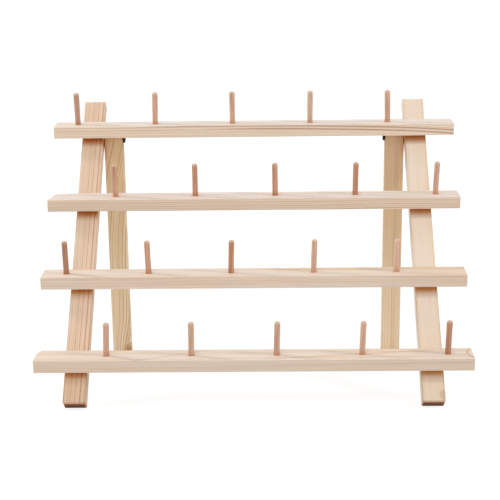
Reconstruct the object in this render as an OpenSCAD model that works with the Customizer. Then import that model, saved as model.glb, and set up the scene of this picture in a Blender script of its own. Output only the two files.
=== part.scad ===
// Folding wooden rack for sewing-thread spools.
// Four identical pegged rails stand like stair treads on two leaning front legs.
// Two rear legs prop the front up, and fold flat between the front legs on pivot bolts.
// All sizes are in millimetres: X runs along the rails, Y to the back and Z up.
// The origin lies on the floor, below the middle of the rack's outline.

/* [Rails] */
// Length of each rail
rail_length = 400; // [396:1:440]
// Depth of a rail's top face, from its front edge to its back edge
rail_depth = 25.9; // [25:0.1:30]
// Thickness of a rail
rail_height = 11.7; // [10.8:0.1:12.5]
// Place of the lowest rail's back edge, measured up along the leg
first_rail = 52; // [45:0.5:60]
// Distance from one rail to the next, measured along the leg
rail_spacing = 84.4; // [75:0.1:88]
// How steeply the rail tops slope down to the front, in degrees
rail_slope = 7; // [4:0.5:9]

/* [Pegs] */
// Pegs on each rail
pegs_per_rail = 5; // [2:1:5]
// Diameter of a peg above its rail
peg_diameter = 5.4; // [5:0.1:6.5]
// Height of a peg above its rail
peg_height = 32; // [20:0.5:40]
// Depth of the blind hole that holds a peg
peg_hole_depth = 8; // [6:0.5:8]
// Distance from one peg to the next
peg_pitch = 78; // [70:0.5:80]
// Distance from a rail's near end to its first peg
peg_margin = 22.8; // [18:0.1:26]

/* [Front legs] */
// Width of a front leg, seen from the front
leg_width = 21; // [20:0.5:26]
// Thickness of a front leg
leg_thickness = 12.5; // [12:0.5:16]
// Length of a front leg
leg_length = 330; // [325:0.5:360]
// How far the front legs lean back, in degrees
leg_lean = 38; // [34:0.5:40]
// Distance between the middles of the two front legs
leg_span = 326; // [300:0.2:330]

/* [Rear legs] */
// Width of a rear leg, seen from the front
rear_width = 19; // [16:0.1:24]
// Thickness of a rear leg, a little less than the front leg's
rear_thickness = 11.5; // [10.5:0.1:11.8]
// How far the feet of the rear legs stand out to the back, in degrees
rear_lean = 6; // [4:0.5:10]

/* [Pivots] */
// Distance of the pivots below the top rail's back edge, along the leg
pivot_drop = 14.5; // [14:0.5:18]
// Diameter of a pivot bolt
bolt_diameter = 4; // [3:0.5:4]
// Diameter of the barrel that a rear leg turns on
barrel_diameter = 6; // [5.5:0.1:6.5]
// Diameter of the barrel nut's flat head
nut_diameter = 12; // [10:0.5:14]
// Thickness of the barrel nut's flat head
nut_thickness = 1.8; // [1.8:0.1:3]

/* [Hidden] */
$fn = 72;

// Rails from the floor up. Every other rail is turned end for end, which staggers the pegs.
ROWS = ["bottom", "lower", "upper", "top"];
SIDES = ["left", "right"];

function peg_name(row, count) = str("peg_", ROWS[row], "_", count + 1);

// Colours of the pale pine, the darker pegs and the hardware
rail_colour = [0.90, 0.82, 0.75];
front_leg_colour = [0.86, 0.76, 0.66];
rear_leg_colour = [0.80, 0.69, 0.53];
peg_colour = [0.74, 0.55, 0.45];
black_steel = [0.08, 0.08, 0.09];
plain_steel = [0.62, 0.62, 0.64];

// Flat that takes the sharpness off the long edges of legs and rails
edge_flat = 0.7;

// Angle between a rail's top and a line square to the leg, which is also the bevel of its back
bevel = leg_lean + rail_slope;
// Angle between a front leg and its open rear leg
open_angle = leg_lean + rear_lean;

// Peg: a small shoulder sits on the rail, and the hole leaves room for glue round the tenon
peg_shoulder = 0.4;
glue_gap = 0.03;
glue_pocket = 0.3;
tip_round_share = 0.7;
peg_radius = peg_diameter / 2;
peg_tip_round = tip_round_share * peg_radius;
tenon_radius = peg_radius - peg_shoulder;
tenon_length = peg_hole_depth - glue_pocket;
peg_hole_radius = tenon_radius + glue_gap;

// Side view of the front: the leg's lower back edge, where its flat begins, stands on the floor
leg_lift = (leg_thickness - edge_flat) * sin(leg_lean);
top_rail = first_rail + (len(ROWS) - 1) * rail_spacing;
pivot_along = top_rail - pivot_drop;
pivot_deep = leg_thickness / 2;
pivot_y = pivot_deep * cos(leg_lean) + pivot_along * sin(leg_lean);
pivot_z = leg_lift - pivot_deep * sin(leg_lean) + pivot_along * cos(leg_lean);

// Side view of a rear leg: its lower front edge stands on the floor, and its mitred top
// comes to rest on the back of the top rail, which stops the leg from opening further.
// The front of the top is rounded about the pivot, so that it clears the rail as the leg folds.
rear_half = rear_thickness / 2;
rear_below = (pivot_z - (rear_half - edge_flat) * sin(rear_lean)) / cos(rear_lean);
rear_top_flat = 1.5;
stop_gap = 0.25;
stop_reach = pivot_deep - stop_gap;
mitre_deep = rear_half - rear_top_flat;
rear_above = (stop_reach + mitre_deep * cos(open_angle)) / sin(open_angle);

// Middle of the whole outline, from the front toes to the rear heels
front_toe = edge_flat * sin(leg_lean);
rear_heel = pivot_y + (rear_below - edge_flat) * sin(rear_lean) + rear_half * cos(rear_lean);
y_middle = (front_toe + rear_heel) / 2;

// Places along X on the right-hand side, from the outside in
leg_middle = leg_span / 2;
leg_outer = leg_middle + leg_width / 2;
leg_inner = leg_middle - leg_width / 2;
washer_thickness = 0.4;
washer_radius = 6;
side_play = 0.1;
rear_outer = leg_inner - washer_thickness - side_play;
rear_inner = rear_outer - rear_width;
rear_middle = (rear_outer + rear_inner) / 2;
nut_face = rear_inner - side_play;
barrel_end = leg_inner - washer_thickness;

// Pivot hardware
bolt_gap = 0.1;
running_gap = 0.05;
thread_gap = 0.02;
bolt_radius = bolt_diameter / 2;
bolt_hole_radius = bolt_radius + bolt_gap;
bolt_head_radius = 4.2;
bolt_head_thickness = 2.4;
bolt_recess = 2.7;
bolt_engagement = 14;
barrel_radius = barrel_diameter / 2;
barrel_bore_radius = barrel_radius + running_gap;
nut_radius = nut_diameter / 2;
nut_edge_flat = 0.5;
hex_key = 3;
hex_depth = 1.3;

// Countersunk screws that hold the rails, driven from the backs of the front legs
screw_drop = 9;
screw_shank_radius = 1.6;
screw_thread_radius = 1.4;
screw_head_radius = 3.1;
screw_head_depth = screw_head_radius - screw_shank_radius;
screw_bite = 7;
screw_point = 2;
screw_gap = 0.1;
cross_length = 3.4;
cross_width = 0.8;
cross_depth = 1;

// Overshoot of cutting tools past the faces that they cut
over = 1;

// Unit vector from a to b
function toward(a, b) = (b - a) / norm(b - a);

// Outline with each corner cut off by a small flat
function eased(outline, flat = edge_flat) = [
  for (i = [0 : len(outline) - 1], side = [-1, 1])
    let (here = outline[i])
    let (next = outline[(i + side + len(outline)) % len(outline)])
    here + flat * toward(here, next)
];

// Outline of an upright rectangle between two corners
function rectangle(low, high) = [low, [high[0], low[1]], high, [low[0], high[1]]];

// Draws a side view, given as (back, up), out along X by a width, centred on X = 0
module draw_along_x(width) {
  rotate([90, 0, 90])
    linear_extrude(width, center = true)
      children();
}

// Round bar along X
module rod_along_x(start, end, radius) {
  translate([start, 0, 0])
    rotate([0, 90, 0])
      cylinder(h = end - start, r = radius);
}

// Puts children in the leaning front: z runs up the leg, y to its back, y = 0 is its front face
module leaning() {
  translate([0, -y_middle, leg_lift])
    rotate([-leg_lean, 0, 0])
      children();
}

// Puts children, drawn round the pivot, on the pivot's line in the leaning front
module at_pivot() {
  leaning()
    translate([0, pivot_deep, pivot_along])
      children();
}

// Puts children in a rear leg's frame: z runs up the leg, y to its back, from the pivot
module rear_leaning() {
  translate([0, pivot_y - y_middle, pivot_z])
    rotate([rear_lean, 0, 0])
      children();
}

// Puts children on a rail: y runs to the back and z up, from the top face's back edge
module on_rail(row) {
  leaning()
    translate([0, 0, first_rail + row * rail_spacing])
      rotate([bevel, 0, 0])
        children();
}

// Puts children, drawn for the right-hand side, on either side
module on_side(side) {
  mirror([side == "left" ? 1 : 0, 0, 0])
    children();
}

// Place of a peg along a rail, counted from the rail's near end
function peg_x(row, count) =
  let (from_end = rail_length / 2 - peg_margin - count * peg_pitch)
  row % 2 == 0 ? from_end : -from_end;

// Puts children at the screws of some rails, along +Z from the leg's back into the rail
module at_screws(rows = [0 : len(ROWS) - 1]) {
  for (row = rows)
    translate([leg_middle, leg_thickness, first_rail + row * rail_spacing - screw_drop])
      rotate([90, 0, 0])
        children();
}

// Long bar with eased edges: y from 0 to thickness, z from 0 to length, centred on X = 0
module eased_bar(width, thickness, length) {
  intersection() {
    linear_extrude(length)
      polygon(eased(rectangle([-width / 2, 0], [width / 2, thickness])));
    draw_along_x(width)
      polygon(eased(rectangle([0, 0], [thickness, length])));
  }
}

module front_leg(side) {
  color(front_leg_colour)
    on_side(side)
      leaning()
        difference() {
          translate([leg_middle, 0, 0])
            eased_bar(leg_width, leg_thickness, leg_length);
          translate([0, pivot_deep, pivot_along]) {
            rod_along_x(leg_inner - over, leg_outer + over, bolt_hole_radius);
            rod_along_x(leg_outer - bolt_recess, leg_outer + over, bolt_head_radius + bolt_gap);
          }
          at_screws() {
            translate([0, 0, -over])
              cylinder(h = leg_thickness + 2 * over, r = screw_shank_radius + screw_gap);
            cylinder(h = screw_head_depth, r1 = screw_head_radius + screw_gap,
              r2 = screw_shank_radius + screw_gap);
          }
        }
}

// Side view of a rear leg, as (back, up) from the pivot
module rear_side_view() {
  polygon([
    [-rear_half + edge_flat, -rear_below],
    [rear_half - edge_flat, -rear_below],
    [rear_half, -rear_below + edge_flat],
    [rear_half, rear_above],
    [mitre_deep, rear_above],
    stop_reach * [-cos(open_angle), sin(open_angle)],
    [-rear_half, 0],
    [-rear_half, -rear_below + edge_flat]
  ]);
  intersection() {
    circle(stop_reach);
    square(rear_thickness, center = true);
  }
}

module rear_leg(side) {
  color(rear_leg_colour)
    on_side(side)
      rear_leaning()
        difference() {
          intersection() {
            translate([rear_middle, 0, 0])
              draw_along_x(rear_width)
                rear_side_view();
            translate([rear_middle, -rear_half, -rear_below])
              linear_extrude(rear_below + rear_above)
                polygon(eased(rectangle([-rear_width / 2, 0], [rear_width / 2, rear_thickness])));
          }
          rod_along_x(rear_inner - over, rear_outer + over, barrel_bore_radius);
        }
}

// Rail with a bevelled back that lies flat on the legs, holes for its pegs and for two screws
module rail(row) {
  color(rail_colour)
    difference() {
      on_rail(row)
        difference() {
          draw_along_x(rail_length)
            polygon(eased([
              [0, 0],
              [-rail_depth, 0],
              [-rail_depth, -rail_height],
              [-rail_height * tan(bevel), -rail_height]
            ]));
          for (count = [0 : pegs_per_rail - 1])
            translate([peg_x(row, count), -rail_depth / 2, -peg_hole_depth])
              cylinder(h = peg_hole_depth + over, r = peg_hole_radius);
        }
      for (side = SIDES)
        on_side(side)
          leaning()
            at_screws([row])
              cylinder(h = leg_thickness + screw_bite + thread_gap, r = screw_thread_radius + thread_gap);
    }
}

// Turned peg: a straight wall with a rounded tip, and a thinner tenon below its shoulder
module peg(row, count) {
  color(peg_colour)
    on_rail(row)
      translate([peg_x(row, count), -rail_depth / 2, 0])
        rotate_extrude() {
          square([peg_radius, peg_height - peg_tip_round]);
          square([peg_radius - peg_tip_round, peg_height]);
          translate([0, peg_height - peg_tip_round])
            intersection() {
              translate([peg_radius - peg_tip_round, 0])
                circle(peg_tip_round);
              square([peg_radius, peg_tip_round]);
            }
          translate([0, -tenon_length])
            square([tenon_radius, tenon_length]);
        }
}

// Bolt with its head sunk in the front leg's outer face
module pivot_bolt(side) {
  head_seat = leg_outer - bolt_recess;
  color(plain_steel)
    on_side(side)
      at_pivot()
        difference() {
          union() {
            rod_along_x(head_seat, head_seat + bolt_head_thickness, bolt_head_radius);
            rod_along_x(barrel_end - bolt_engagement, head_seat, bolt_radius);
          }
          translate([head_seat + bolt_head_thickness - hex_depth, 0, 0])
            rotate([0, 90, 0])
              cylinder(h = hex_depth + over, d = hex_key, $fn = 6);
        }
}

// Barrel nut: its barrel is the rear leg's bearing, and its flat head keeps the leg on
module barrel_nut(side) {
  color(black_steel)
    on_side(side)
      at_pivot()
        difference() {
          union() {
            rod_along_x(nut_face - nut_thickness + nut_edge_flat, nut_face, nut_radius);
            translate([nut_face - nut_thickness, 0, 0])
              rotate([0, 90, 0])
                cylinder(h = nut_edge_flat, r1 = nut_radius - nut_edge_flat, r2 = nut_radius);
            rod_along_x(nut_face, barrel_end, barrel_radius);
          }
          rod_along_x(barrel_end - bolt_engagement - over, barrel_end + over, bolt_radius + thread_gap);
          translate([nut_face - nut_thickness - over, 0, 0])
            rotate([0, 90, 0])
              cylinder(h = hex_depth + over, d = hex_key, $fn = 6);
        }
}

// Thin washer that keeps the two legs of a side from rubbing
module pivot_washer(side) {
  color(plain_steel)
    on_side(side)
      at_pivot()
        difference() {
          rod_along_x(barrel_end, leg_inner, washer_radius);
          rod_along_x(barrel_end - over, leg_inner + over, bolt_hole_radius);
        }
}

// The countersunk screws of one front leg, one for each rail
module rail_screws(side) {
  color(plain_steel)
    on_side(side)
      leaning()
        at_screws()
          difference() {
            union() {
              cylinder(h = screw_head_depth, r1 = screw_head_radius, r2 = screw_shank_radius);
              cylinder(h = leg_thickness, r = screw_shank_radius);
              cylinder(h = leg_thickness + screw_bite - screw_point, r = screw_thread_radius);
              translate([0, 0, leg_thickness + screw_bite - screw_point])
                cylinder(h = screw_point, r1 = screw_thread_radius, r2 = 0);
            }
            for (turn = [0, 90])
              rotate([0, 0, turn])
                translate([-cross_length / 2, -cross_width / 2, -over])
                  cube([cross_length, cross_width, cross_depth + over]);
          }
}

for (side = SIDES) {
  front_leg(side);
  rear_leg(side);
  pivot_bolt(side);
  barrel_nut(side);
  pivot_washer(side);
  rail_screws(side);
}
for (row = [0 : len(ROWS) - 1]) {
  rail(row);
  for (count = [0 : pegs_per_rail - 1])
    peg(row, count);
}
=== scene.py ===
# %% [markdown]
# A folding rack for thread spools, dressed piece by piece. The rack is raw pine: two front legs that
# lean back like a ladder, four rails with five pegs each, and two rear legs that swing on a bolt below
# the top rail.

# %% Load the frame and keep its box
import math
from collections import namedtuple
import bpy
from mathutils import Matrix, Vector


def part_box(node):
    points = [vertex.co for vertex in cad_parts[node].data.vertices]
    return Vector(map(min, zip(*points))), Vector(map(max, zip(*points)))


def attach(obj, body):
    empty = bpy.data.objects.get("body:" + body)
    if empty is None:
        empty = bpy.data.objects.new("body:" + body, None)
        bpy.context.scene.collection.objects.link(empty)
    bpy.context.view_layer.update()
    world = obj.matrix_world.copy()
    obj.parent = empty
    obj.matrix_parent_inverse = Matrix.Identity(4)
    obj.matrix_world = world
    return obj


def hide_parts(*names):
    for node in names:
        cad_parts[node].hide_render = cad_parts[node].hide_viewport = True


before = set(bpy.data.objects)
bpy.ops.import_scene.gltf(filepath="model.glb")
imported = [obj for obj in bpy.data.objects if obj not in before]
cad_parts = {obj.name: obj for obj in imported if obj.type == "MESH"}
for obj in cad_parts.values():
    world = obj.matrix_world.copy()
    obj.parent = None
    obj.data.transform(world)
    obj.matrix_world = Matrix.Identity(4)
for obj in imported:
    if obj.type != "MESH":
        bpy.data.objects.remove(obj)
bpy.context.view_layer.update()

from types import SimpleNamespace

import bmesh
import bpy
from mathutils import Matrix, Vector

scene = bpy.context.scene
MM = 0.001

# %% [markdown]
# The camera comes first, because every finish is judged through it. The photograph was taken with a long
# lens from a little above the top rail, almost straight on. Its viewing angle was worked out from the
# corners of the rack, so the camera is given as a height, a distance and three small turns.

# %% Set the camera
IMAGE_PIXELS = 500
FOCAL_PIXELS = 1250
SENSOR_MM = 36
EYE_SIDE = -3.66 * MM
EYE_HEIGHT = 340.854 * MM
EYE_DISTANCE = 1195.761 * MM
LOOK_DOWN = math.radians(10.088)
LOOK_LEFT = math.radians(1.013)
HEAD_TILT = math.radians(0.616)

lens = bpy.data.cameras.new("camera")
lens.sensor_width = SENSOR_MM
lens.lens = SENSOR_MM * FOCAL_PIXELS / IMAGE_PIXELS
camera = bpy.data.objects.new("camera", lens)
scene.collection.objects.link(camera)
round_upright = Matrix.Rotation(LOOK_LEFT, 4, "Z")
look = Matrix.Rotation(math.pi / 2 - LOOK_DOWN, 4, "X")
tilt = Matrix.Rotation(-HEAD_TILT, 4, "Z")
stand = Matrix.Translation((EYE_SIDE, 0, EYE_HEIGHT)) @ round_upright
camera.matrix_world = stand @ Matrix.Translation((0, -EYE_DISTANCE, 0)) @ look @ tilt
scene.camera = camera
print("camera stands at", [round(v, 3) for v in camera.matrix_world.translation], "with lens", lens.lens)

# %% [markdown]
# Light, materials and shapes are all node trees here. A few small helpers keep the recipes short. The first
# adds a node with its settings and inputs, and the others hand back the result of the nodes that are used
# most: any node, a Math node, a Vector Math node, and a Map Range node that fades a value in smoothly.

# %% Helpers for node trees
def add(tree, kind, inputs=None, **settings):
    """A new node. An input is a plain value, or the socket of another node that is joined to it."""
    made = tree.nodes.new(kind)
    for name, value in settings.items():
        setattr(made, name, value)
    for name, value in (inputs or {}).items():
        if isinstance(value, bpy.types.NodeSocket):
            tree.links.new(value, made.inputs[name])
        else:
            made.inputs[name].default_value = value
    return made


def result(tree, kind, inputs=None, **settings):
    """The first output of a new node."""
    return add(tree, kind, inputs, **settings).outputs[0]


def number(tree, operation, *values):
    """The result of a Math node."""
    return result(tree, "ShaderNodeMath", dict(enumerate(values)), operation=operation)


def vector(tree, operation, *values):
    """The result of a Vector Math node, which is a plain number for a length or a dot product."""
    outputs = add(tree, "ShaderNodeVectorMath", dict(enumerate(values)), operation=operation).outputs
    return outputs["Value"] if operation in ("LENGTH", "DOT_PRODUCT") else outputs["Vector"]


def faded(tree, value, start, end, low=0.0, high=1.0):
    """A value's way from start to end, as a smooth step from low to high."""
    inputs = {"Value": value, "From Min": start, "From Max": end, "To Min": low, "To Max": high}
    return result(tree, "ShaderNodeMapRange", inputs, interpolation_type="SMOOTHSTEP")


print("helpers ready:", [helper.__name__ for helper in (add, result, number, vector, faded)])

# %% [markdown]
# The photograph is a studio shot on white paper, with so much light from all around that hardly any shadow
# is left. The world stands for that light. It is white to look at, but it lights the rack more gently than
# that, so that pale wood keeps its colour. Two broad panels in front, one high and one lower, bring out the
# faces, and two small lamps at the sides draw the soft shadows of the pegs along the rails.

# %% Light the studio
SURROUND_LIGHT = 0.47
RACK_MIDDLE = Vector((0, 0, 0.14))
LAMPS = {
    "overhead_panel": {"place": (-0.6, -2.0, 2.35), "side": 1.4, "watts": 11.5},
    "front_panel": {"place": (-0.2, -2.1, 1.0), "side": 1.5, "watts": 6.2},
    "left_lamp": {"place": (-1.0, 0.15, 0.85), "side": 0.18, "watts": 4.9},
    "right_lamp": {"place": (1.0, -0.35, 0.85), "side": 0.18, "watts": 4.3},
}


def seen_directly(tree):
    """1 where the camera, a reflection or a clear material looks at the surface, and 0 for its light."""
    path = add(tree, "ShaderNodeLightPath").outputs
    mirrored = number(tree, "MAXIMUM", path["Is Glossy Ray"], path["Is Transmission Ray"])
    return number(tree, "MAXIMUM", path["Is Camera Ray"], mirrored)


def soft_lamp(name, place, side, watts):
    """A square light panel that faces the middle of the rack."""
    panel = bpy.data.lights.new(name, "AREA")
    panel.size = side
    panel.energy = watts
    lamp = bpy.data.objects.new(name, panel)
    scene.collection.objects.link(lamp)
    turn = (RACK_MIDDLE - Vector(place)).to_track_quat("-Z", "Y").to_matrix().to_4x4()
    lamp.matrix_world = Matrix.Translation(place) @ turn


scene.view_settings.view_transform = "Standard"
studio = bpy.data.worlds.new("white_studio")
studio.use_nodes = True
scene.world = studio
tree = studio.node_tree
paper_light = tree.nodes["Background"].inputs
paper_light["Color"].default_value = (1, 1, 1, 1)
extra = number(tree, "MULTIPLY", seen_directly(tree), 1 - SURROUND_LIGHT)
tree.links.new(number(tree, "ADD", extra, SURROUND_LIGHT), paper_light["Strength"])
for name, lamp in LAMPS.items():
    soft_lamp(name, **lamp)
    print(name, "gives", lamp["watts"], "W from", lamp["place"])

# %% [markdown]
# The floor is a sheet of white paper. A plain white floor would come out grey, because it only sends back
# the light that falls on it. So to the eye it is mostly a sheet that is white by itself. Close to the rack
# it is mixed with a lit sheet, which keeps the shadows that hold the feet to the ground. The light that the
# paper throws back up at the rack comes from a third sheet, with an even and slightly warm glow.

# %% Lay the floor
FLOOR_SIDE = 8
SHADOW_SHARE = 0.22
SHADOW_REACH = (0.75, 0.35)
LIT_PAPER = (0.90, 0.90, 0.90, 1)
# A little over 1, because the lit sheet that is mixed in is darker than white.
PAPER_GLOW = 1.105
BOUNCE_COLOUR = (1, 0.967, 0.91, 1)
BOUNCE_GLOW = 0.76

half = FLOOR_SIDE / 2
floor_corners = [(-half, -half, 0), (half, -half, 0), (half, half, 0), (-half, half, 0)]
floor_mesh = bpy.data.meshes.new("paper_floor")
floor_mesh.from_pydata(floor_corners, [], [(0, 1, 2, 3)])
floor = bpy.data.objects.new("paper_floor", floor_mesh)
scene.collection.objects.link(floor)

paper = bpy.data.materials.new("white_paper")
paper.use_nodes = True
tree = paper.node_tree
tree.nodes.clear()
from_middle = vector(tree, "LENGTH", add(tree, "ShaderNodeTexCoord").outputs["Object"])
shadow_share = faded(tree, from_middle, *SHADOW_REACH, 0.0, SHADOW_SHARE)
white_sheet = result(tree, "ShaderNodeEmission", {"Color": (1, 1, 1, 1), "Strength": PAPER_GLOW})
lit_sheet = result(tree, "ShaderNodeBsdfDiffuse", {"Color": LIT_PAPER})
to_the_eye = result(tree, "ShaderNodeMixShader", {0: shadow_share, 1: white_sheet, 2: lit_sheet})
bounce = result(tree, "ShaderNodeEmission", {"Color": BOUNCE_COLOUR, "Strength": BOUNCE_GLOW})
sheet = result(tree, "ShaderNodeMixShader", {0: seen_directly(tree), 1: bounce, 2: to_the_eye})
add(tree, "ShaderNodeOutputMaterial", {"Surface": sheet})
floor_mesh.materials.append(paper)
print("floor:", FLOOR_SIDE, "m square, shadow share", SHADOW_SHARE)

# %% [markdown]
# Each bar of the rack was sawn from its own plank, and the wood pattern has to run along that bar. So every
# bar gets a frame of its own: across its face, through its thickness, and along its length, in millimetres.
# A Mapping node does that for the material: it turns and scales the object's coordinates. The turn is
# known from the rack's three slopes, and the shift is measured on the CAD node after turning it.

# %% Find a frame for each bar
LEG_LEAN = math.radians(38)
REAR_LEAN = math.radians(6)
RAIL_SLOPE = math.radians(7)
ROWS = ("bottom", "lower", "upper", "top")
SIDES = ("left", "right")
# Makes X, which runs along a rail, the last of the three directions.
LENGTHWISE = Matrix(((0, 1, 0), (0, 0, 1), (1, 0, 0)))

turns = {f"front_leg_{side}": Matrix.Rotation(LEG_LEAN, 3, "X") for side in SIDES}
turns.update({f"rear_leg_{side}": Matrix.Rotation(-REAR_LEAN, 3, "X") for side in SIDES})
turns.update({f"rail_{row}": LENGTHWISE @ Matrix.Rotation(-RAIL_SLOPE, 3, "X") for row in ROWS})


def bar_frame(node):
    """The turn and shift that give a place on a bar as millimetres across, through and along it."""
    turn = turns[node]
    turned = [turn @ vertex.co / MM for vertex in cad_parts[node].data.vertices]
    low = Vector([min(place[axis] for place in turned) for axis in range(3)])
    high = Vector([max(place[axis] for place in turned) for axis in range(3)])
    start = Vector(((low.x + high.x) / 2, low.y, low.z))
    return SimpleNamespace(turn=turn, start=start, size=high - low)


bars = {node: bar_frame(node) for node in turns}
for node, bar in bars.items():
    print(node, "is", [round(side, 1) for side in bar.size], "mm across, through and along")

# %% [markdown]
# Pine shows its growth rings: each year a wide pale band of soft early wood, then a thin darker line of late
# wood that ends sharply. A sawn bar is a slice through those rings, so stripes, arches and plain faces all
# come from where the heart of the tree lay. The material works that way round. It measures the distance to
# a heart line, which wanders a little and may bend aside along the bar, and cuts that distance into years.
# Years differ: noise that changes slowly makes them wider or narrower, and a random number for each year
# says how dark its line is.

# %% Year rings
SEED_SHIFT = (7.31, 3.17, 5.83)
NOISE_MIDDLE = (0.5, 0.5, 0.5)
WANDER_SCALE = (0.016, 0.016, 0.0042)
WIDTH_PACE = 0.22        # how quickly the width of the years changes, for each ring
WIDTH_CHANGE = 2.4       # how many rings a year can come early or late by
WEATHER_SHIFT = 13.7     # gives each plank a row of good and bad years of its own
FAINTEST_LINE = 0.3
LATE_WIDTH = 2.5         # how many line widths before its end a year starts to darken
LATE_DARKEST = 0.97
LATE_CURVE = 1.5
YEAR_END = (1.0, 0.965)  # the short last part of a year, where its line ends


def axes(tree, place):
    """The three numbers of a place."""
    return tuple(add(tree, "ShaderNodeSeparateXYZ", {"Vector": place}).outputs)


def point(tree, **numbers):
    """A place from the numbers X, Y and Z. One that isn't given is 0."""
    return result(tree, "ShaderNodeCombineXYZ", numbers)


def scaled_noise(tree, place, scale, seed, detail=2.0):
    """Noise on coordinates that are stretched along the bar. Every seed reads another part of it."""
    stretched = vector(tree, "MULTIPLY", place, scale)
    shifted = vector(tree, "ADD", stretched, [seed * shift for shift in SEED_SHIFT])
    return add(tree, "ShaderNodeTexNoise", {"Vector": shifted, "Scale": 1.0, "Detail": detail}).outputs


def from_heart(tree, place, plank):
    """How far a place lies from the heart line of the tree."""
    across, through, along = axes(tree, place)
    side = number(tree, "MULTIPLY_ADD", along, -plank.drift[0], across)
    side = number(tree, "SUBTRACT", side, plank.heart[0])
    past = number(tree, "MAXIMUM", number(tree, "SUBTRACT", along, plank.bend[0]), 0.0)
    side = number(tree, "MULTIPLY_ADD", number(tree, "MULTIPLY", past, past), -plank.bend[1], side)
    depth = number(tree, "MULTIPLY_ADD", along, -plank.drift[1], through)
    depth = number(tree, "SUBTRACT", depth, plank.heart[1])
    sway = scaled_noise(tree, place, WANDER_SCALE, plank.seed, detail=1.0)["Color"]
    sway = vector(tree, "SUBTRACT", sway, NOISE_MIDDLE)
    sway = vector(tree, "MULTIPLY", sway, (plank.wander, plank.wander, 0))
    return vector(tree, "LENGTH", vector(tree, "ADD", point(tree, X=side, Y=depth), sway))


def late_wood(tree, distance, plank):
    """The thin dark end of every year, from 0 to 1."""
    slow = number(tree, "MULTIPLY_ADD", distance, WIDTH_PACE / plank.ring, plank.seed)
    pace = result(tree, "ShaderNodeTexNoise", {"W": slow}, noise_dimensions="1D")
    years = number(tree, "DIVIDE", distance, plank.ring)
    years = number(tree, "MULTIPLY_ADD", pace, WIDTH_CHANGE, years)
    season = number(tree, "FRACT", years)
    year = number(tree, "MULTIPLY_ADD", plank.seed, WEATHER_SHIFT, number(tree, "FLOOR", years))
    weather = result(tree, "ShaderNodeTexWhiteNoise", {"W": year}, noise_dimensions="1D")
    summer = faded(tree, season, 1 - LATE_WIDTH * plank.line, LATE_DARKEST)
    summer = number(tree, "POWER", summer, LATE_CURVE)
    autumn = number(tree, "MULTIPLY", summer, faded(tree, season, *YEAR_END))
    darkness = number(tree, "MULTIPLY_ADD", weather, 1 - FAINTEST_LINE, FAINTEST_LINE)
    return number(tree, "MULTIPLY", autumn, darkness)


print("ring recipe ready, the heart line wanders over", round(1 / WANDER_SCALE[2]), "mm")

# %% [markdown]
# Some things break the even run of the rings. A branch leaves a knot, and the rings swell around it. A hard
# year leaves one strong dark line, and resin leaves soft streaks; on the lower rail a broad streak also
# paints the shadow of its pegs. They could come from noise as well, but the eye knows a plank by them, so
# they are given one by one, in millimetres on the bar. A knot reaches into the wood, so that it shows on the
# next face too. One with no dark core is just a rim, as wane leaves it.

# %% Knots, hard years and streaks
Knot = namedtuple("Knot", "across along radius darkness rim")
HardYear = namedtuple("HardYear", "distance begin")
Streak = namedtuple("Streak", "across along slant reach half_width share")
# Lengths along the bar and into it count for less, so that a knot is longest that way.
KNOT_ALONG = 0.75
KNOT_INTO = 0.6
SWELL_REACH = 2.4
SWELL_SHARE = 0.9
CORE_FADE = (1.15, 0.45)
RIM_PLACE = 0.9
RIM_WIDTH = 0.25
WIDEST_RIM = 1.3
HARD_YEAR_FADE = (0.75, 0.15)
HARD_YEAR_RISE = 70
STREAK_DEPTH = (-1.5, -0.2)


def knot_shares(tree, across, deep, along, knots):
    """How far knots push the rings aside, how much of a place is knot, and how much is its rim."""
    push, core, rim = 0.0, 0.0, 0.0
    for knot in knots:
        side = number(tree, "SUBTRACT", across, knot.across)
        ahead = number(tree, "MULTIPLY", number(tree, "SUBTRACT", along, knot.along), KNOT_ALONG)
        into = number(tree, "MULTIPLY", deep, KNOT_INTO if knot.darkness else 0.0)
        gap = vector(tree, "LENGTH", point(tree, X=side, Y=into, Z=ahead))
        spread = -((knot.radius * SWELL_REACH) ** 2)
        fall = number(tree, "DIVIDE", number(tree, "MULTIPLY", gap, gap), spread)
        swell = number(tree, "EXPONENT", fall)
        push = number(tree, "MULTIPLY_ADD", swell, knot.radius * SWELL_SHARE * knot.darkness, push)
        inside = faded(tree, gap, *(knot.radius * share for share in CORE_FADE), 0.0, knot.darkness)
        core = number(tree, "MAXIMUM", inside, core)
        from_rim = number(tree, "ABSOLUTE", number(tree, "SUBTRACT", gap, knot.radius * RIM_PLACE))
        rim_width = min(knot.radius * RIM_WIDTH, WIDEST_RIM)
        rim = number(tree, "MAXIMUM", faded(tree, from_rim, rim_width, 0.0, 0.0, knot.rim), rim)
    return push, core, rim


def with_hard_years(tree, rings, distance, along, hard_years):
    """The rings with the strong lines of hard years among them."""
    for year in hard_years:
        beside = number(tree, "ABSOLUTE", number(tree, "SUBTRACT", distance, year.distance))
        risen = faded(tree, along, year.begin, year.begin + HARD_YEAR_RISE)
        strong_line = number(tree, "MULTIPLY", faded(tree, beside, *HARD_YEAR_FADE), risen)
        rings = number(tree, "MAXIMUM", rings, strong_line)
    return rings


def streak_share(tree, across, deep, along, streak):
    """How much of a place on the face that shows is streak: resin, and on the lower rail partly painted
    shadow of the pegs.
    """
    ahead = number(tree, "SUBTRACT", along, streak.along)
    beside = number(tree, "SUBTRACT", across, streak.across)
    beside = number(tree, "MULTIPLY_ADD", ahead, -streak.slant, beside)
    share = faded(tree, number(tree, "ABSOLUTE", beside), streak.half_width, 0.0, 0.0, streak.share)
    tapered = faded(tree, number(tree, "ABSOLUTE", ahead), streak.reach, streak.reach / 2)
    share = number(tree, "MULTIPLY", share, tapered)
    return number(tree, "MULTIPLY", share, faded(tree, deep, *STREAK_DEPTH))


print("a knot swells the rings out to about", SWELL_REACH, "times its radius")
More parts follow.
